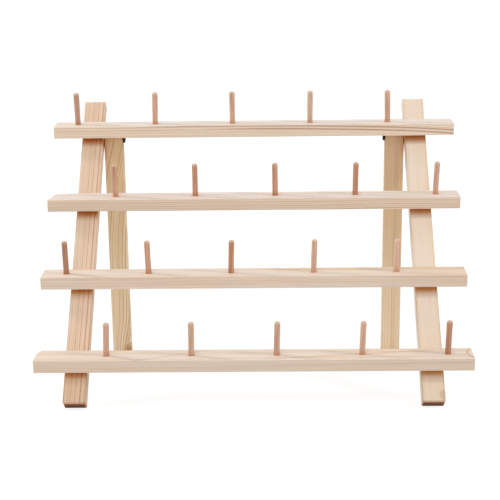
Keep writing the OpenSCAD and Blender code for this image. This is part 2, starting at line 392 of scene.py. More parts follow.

# %% [markdown]
# Now the rings become colour. Early wood is pale and late wood darker, and over both lie slower changes:
# warm patches, a bar that turns warmer or greyer toward an end, fibres that catch the light, and small resin
# flecks. On the rear legs that change toward the head is painted shade. Colours are written as the eye reads
# them on a screen, from 0 to 255. A shader works with linear values, so a helper turns one into the other by
# the usual screen curve.

# %% Colour of planed pine
def colour(red, green, blue):
    """A screen colour from 0 to 255 as the linear colour that a shader takes."""
    parts = [value / 255 for value in (red, green, blue)]
    linear = [part / 12.92 if part <= 0.04045 else ((part + 0.055) / 1.055) ** 2.4 for part in parts]
    return (*linear, 1)


def mixed(tree, share, first, second, how="MIX"):
    """The result of a colour Mix node, whose colour inputs are its seventh and eighth."""
    inputs = {0: share, 6: first, 7: second}
    return add(tree, "ShaderNodeMix", inputs, data_type="RGBA", blend_type=how).outputs[2]


PLAIN = (1, 1, 1)
WARM_TINT = (1.0, 0.94, 0.87, 1)
KNOT_COLOUR = colour(190, 128, 66)
RIM_COLOUR = colour(204, 156, 104)
PATCH_SCALE = (0.045, 0.045, 0.007)
PATCH_FADE = (0.36, 0.66)
NEAR_SPAN = (0.45, 0.0)
FIBRE_FADE = (0.28, 0.72)
FIBRE_DARK = 0.07
FIBRE_BRIGHT = 0.05
FLECK_SCALE = (1.7, 1.7, 0.10)
FLECK_FADE = (0.64, 0.76)
FLECK_SHARE = 0.22


def planed_wood(tree, place, rings, fibre, length, plank):
    """The colour of the plank, before its faces and corners differ."""
    along = axes(tree, place)[2]
    wood = mixed(tree, number(tree, "MULTIPLY", rings, plank.depth), plank.pale, plank.late)
    patch = scaled_noise(tree, place, PATCH_SCALE, plank.seed + 1)[0]
    wood = mixed(tree, faded(tree, patch, *PATCH_FADE, 0.0, plank.patch), wood, WARM_TINT, "MULTIPLY")
    # Tints toward the two ends of the bar; on the rear legs the far one is painted shade at their heads.
    for tint, span in ((plank.near, NEAR_SPAN), (plank.far, plank.far_span)):
        if tint != PLAIN:
            toward_end = faded(tree, along, *(length * share for share in span))
            wood = mixed(tree, toward_end, wood, (*tint, 1), "MULTIPLY")
    shine = faded(tree, fibre, *FIBRE_FADE, 1 - FIBRE_DARK * plank.grain, 1 + FIBRE_BRIGHT * plank.grain)
    wood = result(tree, "ShaderNodeVectorMath", {0: wood, "Scale": shine}, operation="SCALE")
    fleck = scaled_noise(tree, place, FLECK_SCALE, plank.seed + 3)[0]
    return mixed(tree, faded(tree, fleck, *FLECK_FADE, 0.0, FLECK_SHARE), wood, plank.late)


print("a knot as a linear colour:", [round(part, 3) for part in KNOT_COLOUR])

# %% [markdown]
# A bar isn't alike on all sides. The saw leaves the ends darker, and sanding leaves the eased corners a touch
# paler. The narrow faces get painted light and shade: lighter on the sides of the legs, darker and warmer on
# the fronts of the rails. The soles of the front legs get a painted contact shadow. The surface's own
# direction tells these faces apart, and a number that the piece carries marks the corners. Where bars meet,
# shade is painted into the colour, warm as light is there after going back and forth between them. An
# Ambient Occlusion node finds those places at two distances, and tints paint that shade from a wide soft one
# to the dark corner itself.

# %% Ends, edges and corners
END_FADE = (0.80, 0.95)
END_TINT = (0.80, 0.66, 0.50, 1)
NARROW_FADE = (0.75, 0.95)
# Painted contact shadow on the soles of the front legs: how high up the end and how far in it reaches, and
# its tint.
CONTACT_SHADOW_HEIGHT = (6.0, 3.0)
CONTACT_SHADOW_DEPTH = (1.0, 5.0)
CONTACT_SHADOW_TINT = (0.24, 0.18, 0.16, 1)
EDGE_FADE = (6.5, 10.5)
EDGE_TINT = (0.96, 0.84, 0.68, 1)
SANDED_SHARE = 0.2
SANDED_COLOUR = colour(243, 226, 205)
# Painted shade where bars meet: a wide soft one, one in the crevice, and one in the dark corner itself.
PAINTED_SHADE_REACH = 26 * MM
PAINTED_SHADE_FADE = (0.50, 0.20)
PAINTED_SHADE_TINT = (0.97, 0.84, 0.59, 1)
CREVICE_SHADE_REACH = 10 * MM
CREVICE_SHADE_FADE = (0.85, 0.42)
CREVICE_SHADE_TINT = (0.83, 0.48, 0.225, 1)
CORNER_SHADE_FADE = (0.45, 0.18)
CORNER_SHADE_TINT = (0.66, 0.58, 0.50, 1)
PAINTED_SHADE_SAMPLES = 8


def facing(tree, bar, direction, fade):
    """1 on the two faces of a bar that look along a direction of its own frame, and 0 elsewhere."""
    normal = add(tree, "ShaderNodeTexCoord").outputs["Normal"]
    square = vector(tree, "DOT_PRODUCT", normal, bar.turn.transposed() @ Vector(direction))
    return faded(tree, number(tree, "ABSOLUTE", square), *fade)


def foot_with_painted_contact_shadow(tree, wood, cut_end, through, along):
    """The wood with a painted contact shadow on the sole, fading out toward its front edge."""
    contact_shadow = number(tree, "MULTIPLY", cut_end, faded(tree, along, *CONTACT_SHADOW_HEIGHT))
    contact_shadow = number(tree, "MULTIPLY", contact_shadow, faded(tree, through, *CONTACT_SHADOW_DEPTH))
    return mixed(tree, contact_shadow, wood, CONTACT_SHADOW_TINT, "MULTIPLY")


def warm_edges(tree, wood, narrow_side, across, share):
    """The wood with a broad face that grows warmer toward its long edges."""
    outer = faded(tree, number(tree, "ABSOLUTE", across), *EDGE_FADE, 0.0, share)
    outer = number(tree, "MULTIPLY", outer, number(tree, "SUBTRACT", 1.0, narrow_side))
    return mixed(tree, outer, wood, EDGE_TINT, "MULTIPLY")


def with_painted_shade(tree, wood):
    """The wood with painted shade, warmer and darker, where bars meet."""
    openness = {}
    for reach in (PAINTED_SHADE_REACH, CREVICE_SHADE_REACH):
        look_around = add(tree, "ShaderNodeAmbientOcclusion", {"Distance": reach}, samples=PAINTED_SHADE_SAMPLES)
        openness[reach] = look_around.outputs["AO"]
    # Each tint paints shade into the colour where the AO node finds little open space around.
    for reach, fade, tint in ((PAINTED_SHADE_REACH, PAINTED_SHADE_FADE, PAINTED_SHADE_TINT),
                              (CREVICE_SHADE_REACH, CREVICE_SHADE_FADE, CREVICE_SHADE_TINT),
                              (CREVICE_SHADE_REACH, CORNER_SHADE_FADE, CORNER_SHADE_TINT)):
        wood = mixed(tree, faded(tree, openness[reach], *fade), wood, tint, "MULTIPLY")
    return wood


print("shelter is looked for within", round(PAINTED_SHADE_REACH / MM), "and", round(CREVICE_SHADE_REACH / MM), "mm")

# %% [markdown]
# One function puts the finish of a bar together. Raw planed pine is matt. Its late wood is a little harder
# and smoother than the early wood, and the sawn ends are rougher, because there the fibres stand up. So the
# roughness and a very fine relief come from the same rings and fibres as the colour. What isn't said about
# a plank is taken from a plain one.

# %% The finish of a pine bar
FIBRE_SCALE = (1.3, 1.3, 0.018)
FIBRE_DETAIL = 4.0
PLANED_ROUGHNESS = 0.52
END_ROUGHNESS = 0.2
LATE_ROUGHNESS = -0.08
FIBRE_ROUGHNESS = 0.12
PINE_GLOSS = 0.5
RING_RELIEF = 0.5
PINE_RELIEF = {"Strength": 0.25, "Distance": 0.12 * MM}
PLAIN_PLANK = {
    "drift": (0, 0),           # how far the heart line moves across and through the bar, for each mm along it
    "bend": (0, 0),            # where along the bar the heart line starts to bend aside, and how strongly
    "line": 0.25,              # share of a year's width that its dark line takes
    "depth": 0.6,              # how dark the lines are
    "wander": 6.0,             # how far the heart line wanders, in mm
    "patch": 0.6,              # how strong the warm patches are
    "grain": 1.0,              # how strong the fibres are
    "hard_years": (),
    "streaks": (),
    "knots": (),
    # The narrow tint is painted light and shade: above 1 it lightens the sides of a leg, below 1 it darkens
    # the front of a rail.
    "narrow": PLAIN,           # tint of the narrow faces
    "near": PLAIN,             # tint toward a leg's foot or a rail's left end
    # far: on the rear legs this tint is painted shade at their heads.
    "far": PLAIN,              # tint toward the other end
    "far_span": (0.15, 0.75),  # the shares of the length between which that tint comes in
    "warm_edge": 0.0,          # how warm a broad face is along its edges
}


def new_finish(name):
    """A new material, its tree, and the inputs of its shader."""
    finish = bpy.data.materials.new(name)
    finish.use_nodes = True
    return finish, finish.node_tree, finish.node_tree.nodes["Principled BSDF"].inputs


def pine(name, node, **features):
    """Raw pine for one bar. Lengths are millimetres in the bar's own frame."""
    plank = SimpleNamespace(**{**PLAIN_PLANK, **features})
    bar = bars[node]
    finish, tree, surface = new_finish(name)
    spot = add(tree, "ShaderNodeTexCoord").outputs["Object"]
    own_frame = {"Rotation": bar.turn.to_euler(), "Scale": (1 / MM,) * 3, "Location": -bar.start}
    place = result(tree, "ShaderNodeMapping", {"Vector": spot, **own_frame})
    across, through, along = axes(tree, place)
    face_that_shows = bar.size.y if node.startswith("rail") else 0.0
    deep = number(tree, "SUBTRACT", through, face_that_shows)

    push, core, rim = knot_shares(tree, across, deep, along, plank.knots)
    distance = number(tree, "ADD", from_heart(tree, place, plank), push)
    rings = with_hard_years(tree, late_wood(tree, distance, plank), distance, along, plank.hard_years)
    fibre = scaled_noise(tree, place, FIBRE_SCALE, plank.seed + 2, FIBRE_DETAIL)[0]
    wood = planed_wood(tree, place, rings, fibre, bar.size.z, plank)
    for streak in plank.streaks:
        wood = mixed(tree, streak_share(tree, across, deep, along, streak), wood, plank.late)
    if plank.knots:
        wood = mixed(tree, core, wood, KNOT_COLOUR)
        wood = mixed(tree, rim, wood, RIM_COLOUR)

    cut_end = facing(tree, bar, (0, 0, 1), END_FADE)
    wood = mixed(tree, cut_end, wood, END_TINT, "MULTIPLY")
    # Painted light and shade on the narrow faces, from the plank's narrow tint.
    narrow_side = facing(tree, bar, (1, 0, 0), NARROW_FADE)
    wood = mixed(tree, narrow_side, wood, (*plank.narrow, 1), "MULTIPLY")
    # The soles of the front legs get a painted contact shadow.
    if node.startswith("front_leg"):
        wood = foot_with_painted_contact_shadow(tree, wood, cut_end, through, along)
    if plank.warm_edge:
        wood = warm_edges(tree, wood, narrow_side, across, plank.warm_edge)
    eased = add(tree, "ShaderNodeAttribute", attribute_name="eased").outputs["Fac"]
    wood = mixed(tree, number(tree, "MULTIPLY", eased, SANDED_SHARE), wood, SANDED_COLOUR)
    tree.links.new(with_painted_shade(tree, wood), surface["Base Color"])

    rough = number(tree, "MULTIPLY_ADD", cut_end, END_ROUGHNESS, PLANED_ROUGHNESS)
    rough = number(tree, "MULTIPLY_ADD", rings, LATE_ROUGHNESS, rough)
    tree.links.new(number(tree, "MULTIPLY_ADD", fibre, FIBRE_ROUGHNESS, rough), surface["Roughness"])
    surface["Specular IOR Level"].default_value = PINE_GLOSS
    relief = number(tree, "MULTIPLY_ADD", rings, RING_RELIEF, fibre)
    tree.links.new(result(tree, "ShaderNodeBump", {"Height": relief, **PINE_RELIEF}), surface["Normal"])
    return finish


print("pine recipe ready, with fibres", round(1 / FIBRE_SCALE[2]), "mm long")

# %% [markdown]
# No two bars on the real rack look alike, so each gets a plank of its own from the same recipe. The left
# front leg is a pinkish board with strong straight stripes, and the right one is creamy, with warm edges and
# a soft amber stain at its foot. The rear legs are yellower, and the left one has rings that bend aside and
# a large knot at its foot. The rear legs turn darker and warmer toward their heads, which is painted shade
# under the top rail and beside the front legs. On every leg the narrow faces are painted lighter.

# %% Choose a plank for each leg
planks = {
    "front_leg_left": pine(
        "pine_striped", "front_leg_left", pale=colour(236, 208, 184), late=colour(182, 116, 66),
        heart=(-95, 15), ring=4.7, seed=1, drift=(0.012, 0), line=0.17, depth=1.0, wander=4.0, grain=0.6,
        narrow=(1.0, 1.05, 1.1), near=(0.93, 0.90, 0.83), far=(0.93, 0.915, 0.875)),
    "front_leg_right": pine(
        "pine_creamy", "front_leg_right", pale=colour(239, 226, 215), late=colour(230, 198, 158),
        heart=(30, 60), ring=7.0, seed=2, drift=(0.01, 0.02), line=0.4, depth=0.1, wander=4.0,
        patch=0.8, grain=0.45, warm_edge=0.7,
        narrow=(1.06, 1.14, 1.22), near=(0.93, 0.88, 0.77), far=(0.935, 0.905, 0.835),
        knots=[Knot(across=9.0, along=6.2, radius=4.4, darkness=0.42, rim=0.0),
               Knot(across=10.6, along=5.8, radius=2.4, darkness=0.45, rim=0.0)]),
    "rear_leg_left": pine(
        "pine_arched", "rear_leg_left", pale=colour(249, 227, 193), late=colour(168, 116, 62),
        heart=(-32, 8), ring=3.1, seed=3, drift=(0.02, 0), bend=(95, 0.0009), line=0.24, depth=0.74,
        wander=8.0, narrow=(1.04, 1.08, 1.12), far=(0.80, 0.72, 0.62), far_span=(0.15, 0.9),
        knots=[Knot(across=9.5, along=1, radius=8.5, darkness=0.9, rim=0.6)]),
    "rear_leg_right": pine(
        "pine_straight", "rear_leg_right", pale=colour(244, 219, 186), late=colour(166, 120, 68),
        heart=(70, 12), ring=1.9, seed=4, line=0.28, depth=0.5, wander=3.0,
        narrow=(1.04, 1.08, 1.12), far=(0.795, 0.73, 0.65), far_span=(0.05, 0.75)),
}
print("leg planks:", {node: finish.name for node, finish in planks.items()})

# %% [markdown]
# The rails differ as much. The top rail has two dark lines along its front, and the upper one many fine ones.
# The lower rail is almost plain, with a tan back to its top that is partly wood tone and partly painted
# shadow of its pegs. The bottom rail has two orange streaks on its top and a crescent of wane at its right
# end. On every rail the narrow tint paints the front darker and warmer.

# %% Choose a plank for each rail
planks.update({
    "rail_top": pine(
        "pine_lined_dark", "rail_top", pale=colour(246, 234, 224), late=colour(160, 104, 54),
        heart=(-40, -60), ring=2.3, seed=5, bend=(230, -0.0004), line=0.2, depth=0.75, wander=2.5,
        narrow=(0.925, 0.86, 0.765), hard_years=[HardYear(76.1, begin=60), HardYear(73.3, begin=140)],
        knots=[Knot(across=-7, along=376, radius=1.3, darkness=0.8, rim=0.0)]),
    "rail_upper": pine(
        "pine_lined", "rail_upper", pale=colour(243, 231, 222), late=colour(150, 98, 52),
        heart=(-40, -70), ring=1.9, seed=6, drift=(0, 0.002), line=0.24, depth=0.95, wander=4.0,
        narrow=(0.912, 0.831, 0.722)),
    "rail_lower": pine(
        "pine_plain", "rail_lower", pale=colour(239, 223, 207), late=colour(212, 172, 122),
        heart=(-40, 30), ring=6.5, seed=7, drift=(0.02, 0.02), line=0.3, depth=0.32, wander=8.0,
        narrow=(0.963, 0.937, 0.932), far=(0.95, 0.93, 0.905), far_span=(0.7, 1.0),
        # This broad streak on the back of the top is partly wood tone and partly painted shadow of the pegs.
        streaks=[Streak(across=8.5, along=330, slant=0.0, reach=150, half_width=7.5, share=0.5)]),
    "rail_bottom": pine(
        "pine_plain_pink", "rail_bottom", pale=colour(238, 223, 209), late=colour(214, 176, 122),
        heart=(-38, -30), ring=7.5, seed=8, drift=(-0.02, 0.03), line=0.3, depth=0.5, wander=8.0,
        narrow=(0.938, 0.892, 0.857), far=(0.97, 0.96, 0.95), far_span=(0.7, 1.0),
        streaks=[Streak(across=0.2, along=297, slant=0.125, reach=110, half_width=2.2, share=0.65),
                 Streak(across=-3.3, along=118, slant=0.37, reach=60, half_width=2.0, share=0.55)],
        knots=[Knot(across=1.5, along=424, radius=24, darkness=0.0, rim=0.75)]),
})
print("rail planks:", {node: planks[node].name for node in planks if node.startswith("rail")})

# %% [markdown]
# A rail is a strip with one sawn section all along: flat top, upright front, and a back that is bevelled to
# sit on the leaning legs. A shape with such a rule is a good case for Geometry Nodes: four corner points are
# joined to an outline, its corners are rounded, and it is swept along the rail. Two rails have a left end
# that wasn't cut square. So the outline gets points between its corners too, and the tree shifts those of
# the left end by how far back they lie: evenly for a slant, or at the back alone for a rounded corner.

# %% A tree for the rails
CORNER_POINTS = 4
BACK_CORNER_SHARE = 0.25
FACE_CUTS = 5
RAIL_STATIONS = 9
LEFT_END_REACH = 1.0 * MM
ROUND_POWER = 5.0
CORNER_AREA = 60 * MM * MM


def new_tree(name, inputs):
    """An empty Geometry Nodes tree with named inputs, and its input and output nodes."""
    tree = bpy.data.node_groups.new(name, "GeometryNodeTree")
    tree.is_modifier = True
    for label, kind in inputs:
        tree.interface.new_socket(label, in_out="INPUT", socket_type="NodeSocket" + kind)
    tree.interface.new_socket("Geometry", in_out="OUTPUT", socket_type="NodeSocketGeometry")
    return tree, tree.nodes.new("NodeGroupInput").outputs, tree.nodes.new("NodeGroupOutput").inputs


def stored(tree, shape, name, value, domain, kind="FLOAT"):
    """The shape with a value kept on it under a name, for its material to read."""
    keep = {"Geometry": shape, "Name": name, "Value": value}
    return result(tree, "GeometryNodeStoreNamedAttribute", keep, data_type=kind, domain=domain)


def finish_tree(tree, shape, material, way_out):
    """Every tree ends here: instances become real mesh, and the mesh gets its material."""
    real = result(tree, "GeometryNodeRealizeInstances", {"Geometry": shape})
    dressed = result(tree, "GeometryNodeSetMaterial", {"Geometry": real, "Material": material})
    tree.links.new(dressed, way_out["Geometry"])


rail_tree, size, way_out = new_tree("bevelled_rail", [
    ("Length", "Float"), ("Depth", "Float"), ("Height", "Float"), ("Corner", "Float"), ("End slant", "Float"),
    ("End rounding", "Float"), ("Slope", "Float"), ("Left end", "Vector"), ("Material", "Material")])
front = number(rail_tree, "MULTIPLY", size["Depth"], -1.0)
under = number(rail_tree, "MULTIPLY", size["Height"], -1.0)
# The bevel is 45 degrees, so the corner under the back lies as far forward as it lies down.
corners = [(0.0, 0.0), (front, 0.0), (front, under), (under, under)]
points = {f"Point {count + 1}": point(rail_tree, X=back, Y=up) for count, (back, up) in enumerate(corners)}
outline = result(rail_tree, "GeometryNodeCurvePrimitiveQuadrilateral", points, mode="POINTS")
# The first corner of the outline is the one at the top of the back, which stays crisper than the others.
at_back = number(rail_tree, "LESS_THAN", result(rail_tree, "GeometryNodeInputIndex"), 0.5)
crispness = number(rail_tree, "MULTIPLY_ADD", at_back, BACK_CORNER_SHARE - 1, 1.0)
radius = number(rail_tree, "MULTIPLY", size["Corner"], crispness)
rounding = {"Curve": outline, "Count": CORNER_POINTS, "Radius": radius}
rounded = result(rail_tree, "GeometryNodeFilletCurve", rounding, mode="POLY")
section = result(rail_tree, "GeometryNodeSubdivideCurve", {"Curve": rounded, "Cuts": FACE_CUTS})

path = result(rail_tree, "GeometryNodeCurvePrimitiveLine", {"End": point(rail_tree, Z=size["Length"])})
stations = result(rail_tree, "GeometryNodeResampleCurve", {"Curve": path, "Count": RAIL_STATIONS})
sweep = {"Curve": stations, "Profile Curve": section, "Scale": 1.0, "Fill Caps": True}
strip = result(rail_tree, "GeometryNodeCurveToMesh", sweep)

spot = axes(rail_tree, result(rail_tree, "GeometryNodeInputPosition"))
at_left = number(rail_tree, "LESS_THAN", spot[2], LEFT_END_REACH)
from_front = number(rail_tree, "DIVIDE", number(rail_tree, "SUBTRACT", spot[0], front), size["Depth"])
slanted = number(rail_tree, "MULTIPLY", from_front, size["End slant"])
curled = number(rail_tree, "POWER", from_front, ROUND_POWER)
curled = number(rail_tree, "MULTIPLY", curled, size["End rounding"])
cut = point(rail_tree, Z=number(rail_tree, "ADD", slanted, curled))
sawing = {"Geometry": strip, "Selection": at_left, "Offset": cut}
sawn = result(rail_tree, "GeometryNodeSetPosition", sawing)

# Only the faces of the rounded corners are this small. They are marked for the finish, and shaded smooth.
narrow = number(rail_tree, "LESS_THAN", result(rail_tree, "GeometryNodeInputMeshFaceArea"), CORNER_AREA)
marked = stored(rail_tree, sawn, "eased", narrow, "FACE")
shaded = result(rail_tree, "GeometryNodeSetShadeSmooth", {"Geometry": marked, "Shade Smooth": narrow})
laying = {"Geometry": shaded, "Rotation": (math.pi / 2, 0, math.pi / 2)}
lying = result(rail_tree, "GeometryNodeTransform", laying)
placing = {"Geometry": lying, "Translation": size["Left end"], "Rotation": point(rail_tree, X=size["Slope"])}
placed = result(rail_tree, "GeometryNodeTransform", placing)
finish_tree(rail_tree, placed, size["Material"], way_out)
print("rail tree has", len(rail_tree.nodes), "nodes")

# %% [markdown]
# A tree is run by a modifier. The modifier's inputs are set by the identifier of each socket, before the
# object is evaluated for the first time. Then the evaluated shape is copied to a plain mesh, and the object
# that carried the modifier goes away. What is left sits at the origin, with its place in its points.

# %% Run a tree, and make the rails
RAIL_DEPTH = 25.9 * MM
RAIL_HEIGHT = 11.7 * MM
RAIL_CORNER = 0.5 * MM
UPPER_END_SLANT = 6.0 * MM
BOTTOM_END_ROUNDING = 4.5 * MM


def made_by(tree, name, values):
    """The result of a tree with these input values, as a plain mesh object."""
    start = bpy.data.objects.new(name + "_start", bpy.data.meshes.new(name + "_start"))
    scene.collection.objects.link(start)
    modifier = start.modifiers.new("tree", "NODES")
    modifier.node_group = tree
    for socket in tree.interface.items_tree:
        if socket.in_out == "INPUT":
            modifier[socket.identifier] = values[socket.name]
    ready = start.evaluated_get(bpy.context.evaluated_depsgraph_get())
    piece = bpy.data.objects.new(name, bpy.data.meshes.new_from_object(ready))
    bpy.data.objects.remove(start)
    scene.collection.objects.link(piece)
    return piece


def left_end(node):
    """Where the top back corner of a rail's left end is, from its front face, its top and its end."""
    bar = bars[node]
    front_edge = bar.start.x - bar.size.x / 2
    corner = Vector((front_edge + RAIL_DEPTH / MM, bar.start.y + bar.size.y, bar.start.z))
    return bar.turn.transposed() @ corner * MM


for row in ROWS:
    node = f"rail_{row}"
    rail = made_by(rail_tree, f"rail_{row}_strip", {
        "Length": bars[node].size.z * MM, "Depth": RAIL_DEPTH, "Height": RAIL_HEIGHT, "Corner": RAIL_CORNER,
        "End slant": UPPER_END_SLANT if row == "upper" else 0.0,
        "End rounding": BOTTOM_END_ROUNDING if row == "bottom" else 0.0,
        "Slope": RAIL_SLOPE, "Left end": left_end(node), "Material": planks[node]})
    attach(rail, "front_frame")
    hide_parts(node)
    print(rail.name, len(rail.data.polygons), "faces", [round(v / MM, 1) for v in rail.dimensions], "mm")

# %% [markdown]
# The four legs have shapes of their own, with bolt holes, counterbores and a mitred head on the rear ones, so
# they start as copies of the CAD nodes. A CAD mesh is loose triangles: its doubles are merged and its flat
# faces joined again. The foot corners of the front legs are rounded, as they are on the real feet. Then the
# long edges, already eased with small flats, are rounded a little more, as sandpaper does.

# %% Sand the legs
MERGE_DISTANCE = 0.002 * MM
FLAT_ANGLE = math.radians(0.5)
SHARP_ANGLE = math.radians(20)
LONG_EDGE = 9 * MM
SANDING = 0.28 * MM
SANDING_STEPS = 2
FOOT_ROUNDING = 2.2 * MM
FOOT_STEPS = 5
FOOT_HEIGHT_MM = 1.0
STRAIGHT_MM = 0.5
ROUND_PROFILE = 0.5
ROUNDED_AREA = 100 * MM * MM


def is_foot_corner(edge, bar):
    """Whether an edge is one of the two that run through the thickness at a leg's foot."""
    first, second = [bar.turn @ vertex.co / MM - bar.start for vertex in edge.verts]
    low = max(first.z, second.z) < FOOT_HEIGHT_MM
    through = abs(first.y - second.y) > LONG_EDGE / MM
    return low and through and abs(first.x - second.x) < STRAIGHT_MM


def rounded_edges(shape, edges, offset, steps):
    """The faces that rounding some edges makes."""
    rounding = {"offset": offset, "segments": steps, "profile": ROUND_PROFILE, "affect": "EDGES"}
    return bmesh.ops.bevel(shape, geom=edges, **rounding)["faces"]


def sanded_copy(node, name):
    """A copy of a CAD leg with its long edges rounded, and a number on the rounded faces."""
    shape = bmesh.new()
    shape.from_mesh(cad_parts[node].data)
    bmesh.ops.remove_doubles(shape, verts=shape.verts, dist=MERGE_DISTANCE)
    bmesh.ops.dissolve_limit(shape, angle_limit=FLAT_ANGLE, verts=shape.verts, edges=shape.edges)
    eased = shape.faces.layers.float.new("eased")
    if node.startswith("front_leg"):
        foot_corners = [edge for edge in shape.edges if is_foot_corner(edge, bars[node])]
        rounded_edges(shape, foot_corners, FOOT_ROUNDING, FOOT_STEPS)
    sharp = [edge for edge in shape.edges
             if edge.calc_length() > LONG_EDGE and edge.calc_face_angle(0) > SHARP_ANGLE]
    made = rounded_edges(shape, sharp, SANDING, SANDING_STEPS)
    for face in shape.faces:
        face.smooth = False
    for face in made:
        narrow = face.calc_area() < ROUNDED_AREA
        face.smooth = narrow
        face[eased] = float(narrow)
    mesh = bpy.data.meshes.new(name)
    shape.to_mesh(mesh)
    shape.free()
    piece = bpy.data.objects.new(name, mesh)
    scene.collection.objects.link(piece)
    return piece


for node in ("front_leg_left", "front_leg_right", "rear_leg_left", "rear_leg_right"):
    leg = sanded_copy(node, f"{node}_bar")
    leg.data.materials.append(planks[node])
    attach(leg, node if node.startswith("rear") else "front_frame")
    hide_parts(node)
    print(leg.name, len(leg.data.polygons), "faces")

# %% [markdown]
# The twenty pegs are short dowels of a redder wood. The grain of a dowel runs along it whichever way the peg
# stands, so this finish doesn't read the place on the rack. It reads the place on the peg, which the next
# tree stores as an attribute, and two random numbers for each peg: its tone, and how grey it has become.
# Tips are a little paler, partly where the end grain shows and partly as a painted highlight, and feet
# darker, as painted shade where they stand in their holes.

# %% Peg wood
PEG_SHIFT = (40.0, 17.0)
STREAK_SCALE = (0.75, 0.75, 0.035)
STREAK_DETAIL = 3.0
STREAK_FADE = (0.30, 0.70)
DARK_STREAKS = (colour(158, 98, 67), colour(214, 164, 134))
PALE_STREAKS = (colour(202, 140, 104), colour(242, 204, 178))
GREY_WOOD = colour(186, 164, 146)
GREY_SHARE = 0.42
PORE_SCALE = (3.2, 3.2, 0.22)
PORE_FADE = (0.60, 0.72)
PORE_SHARE = 0.35
PORE_COLOUR = colour(126, 80, 58)
TIP_SPAN = (29.0, 31.5)
TIP_SHARE = 0.35
TIP_GRAIN_AND_HIGHLIGHT = colour(240, 214, 190)
# Painted shade at the foot of each peg, where it stands in its hole.
PEG_FOOT_SHADE_SPAN = (6.0, 0.0)
PEG_FOOT_SHADE_SHARE = 0.7
PEG_FOOT_SHADE_TINT = (0.82, 0.66, 0.52, 1)
LATHE_PACE = 9.0
LATHE_RELIEF = 0.12
PEG_RELIEF = {"Strength": 0.2, "Distance": 0.1 * MM}
PEG_ROUGHNESS = 0.42
STREAK_ROUGHNESS = 0.2
PEG_GLOSS = 0.4


def peg_wood():
    """Reddish dowel wood. It reads the place on the peg in millimetres, its tone and its greyness."""
    finish, tree, surface = new_finish("peg_wood_turned")
    local = add(tree, "ShaderNodeAttribute", attribute_name="peg_place").outputs["Vector"]
    tone = add(tree, "ShaderNodeAttribute", attribute_name="peg_tone").outputs["Fac"]
    greyness = add(tree, "ShaderNodeAttribute", attribute_name="peg_grey").outputs["Fac"]
    sideways, inward = [number(tree, "MULTIPLY", tone, shift) for shift in PEG_SHIFT]
    place = vector(tree, "ADD", local, point(tree, X=sideways, Y=inward))
    streak = scaled_noise(tree, place, STREAK_SCALE, 1, STREAK_DETAIL)[0]
    dark = mixed(tree, tone, *DARK_STREAKS)
    pale = mixed(tree, tone, *PALE_STREAKS)
    wood = mixed(tree, faded(tree, streak, *STREAK_FADE), dark, pale)
    wood = mixed(tree, number(tree, "MULTIPLY", greyness, GREY_SHARE), wood, GREY_WOOD)
    pore = scaled_noise(tree, place, PORE_SCALE, 2)[0]
    wood = mixed(tree, faded(tree, pore, *PORE_FADE, 0.0, PORE_SHARE), wood, PORE_COLOUR)
    up = axes(tree, local)[2]
    # Paler tips: partly end grain, partly painted highlight on the top of the dome.
    wood = mixed(tree, faded(tree, up, *TIP_SPAN, 0.0, TIP_SHARE), wood, TIP_GRAIN_AND_HIGHLIGHT)
    # Darker feet: painted shade where the pegs stand in their holes.
    wood = mixed(tree, faded(tree, up, *PEG_FOOT_SHADE_SPAN, 0.0, PEG_FOOT_SHADE_SHARE), wood, PEG_FOOT_SHADE_TINT, "MULTIPLY")
    tree.links.new(wood, surface["Base Color"])
    lathe = number(tree, "SINE", number(tree, "MULTIPLY", up, LATHE_PACE))
    relief = number(tree, "MULTIPLY_ADD", lathe, LATHE_RELIEF, streak)
    tree.links.new(result(tree, "ShaderNodeBump", {"Height": relief, **PEG_RELIEF}), surface["Normal"])
    rough = number(tree, "MULTIPLY_ADD", streak, STREAK_ROUGHNESS, PEG_ROUGHNESS)
    tree.links.new(rough, surface["Roughness"])
    surface["Specular IOR Level"].default_value = PEG_GLOSS
    return finish


dowel_wood = peg_wood()
print("peg wood has", len(dowel_wood.node_tree.nodes), "nodes")

# %% [markdown]
# A row of pegs is one shape planted five times. The tree first turns a single peg: a circle is swept up a
# short line whose points crowd toward the tip, and its size follows a quarter circle there, as a lathe leaves
# it. The place on the peg is stored before the peg is copied, so that all copies share it.

# %% A tree for one peg
TIP_RINGS = 7
PEG_SIDES = 28
peg_tree, size, way_out = new_tree("row_of_pegs", [
    ("Count", "Int"), ("First peg", "Vector"), ("Step", "Vector"), ("Slope", "Float"), ("Lean", "Float"),
    ("Radius", "Float"), ("Height", "Float"), ("Sunk", "Float"), ("Tip rounding", "Float"), ("Seed", "Int"),
    ("Material", "Material")])
# Point 0 is the sunk end, point 1 lies where the peg leaves the rail, and the rounding starts at point 2.
index = result(peg_tree, "GeometryNodeInputIndex")
line = result(peg_tree, "GeometryNodeMeshLine", {"Count": TIP_RINGS + 2})
axis = result(peg_tree, "GeometryNodeMeshToCurve", {"Mesh": line})
tip_share = number(peg_tree, "DIVIDE", number(peg_tree, "SUBTRACT", index, 2.0), TIP_RINGS - 1)
turn = number(peg_tree, "MULTIPLY", number(peg_tree, "MAXIMUM", tip_share, 0.0), math.pi / 2)
rise = number(peg_tree, "MULTIPLY", number(peg_tree, "SINE", turn), size["Tip rounding"])
straight = number(peg_tree, "SUBTRACT", size["Height"], size["Tip rounding"])
above = number(peg_tree, "GREATER_THAN", index, 1.5)
below = number(peg_tree, "LESS_THAN", index, 0.5)
tip_height = number(peg_tree, "MULTIPLY", above, number(peg_tree, "ADD", straight, rise))
height = number(peg_tree, "SUBTRACT", tip_height, number(peg_tree, "MULTIPLY", below, size["Sunk"]))
stacking = {"Geometry": axis, "Position": point(peg_tree, Z=height)}
stem = result(peg_tree, "GeometryNodeSetPosition", stacking)
inset = number(peg_tree, "SUBTRACT", 1.0, number(peg_tree, "COSINE", turn))
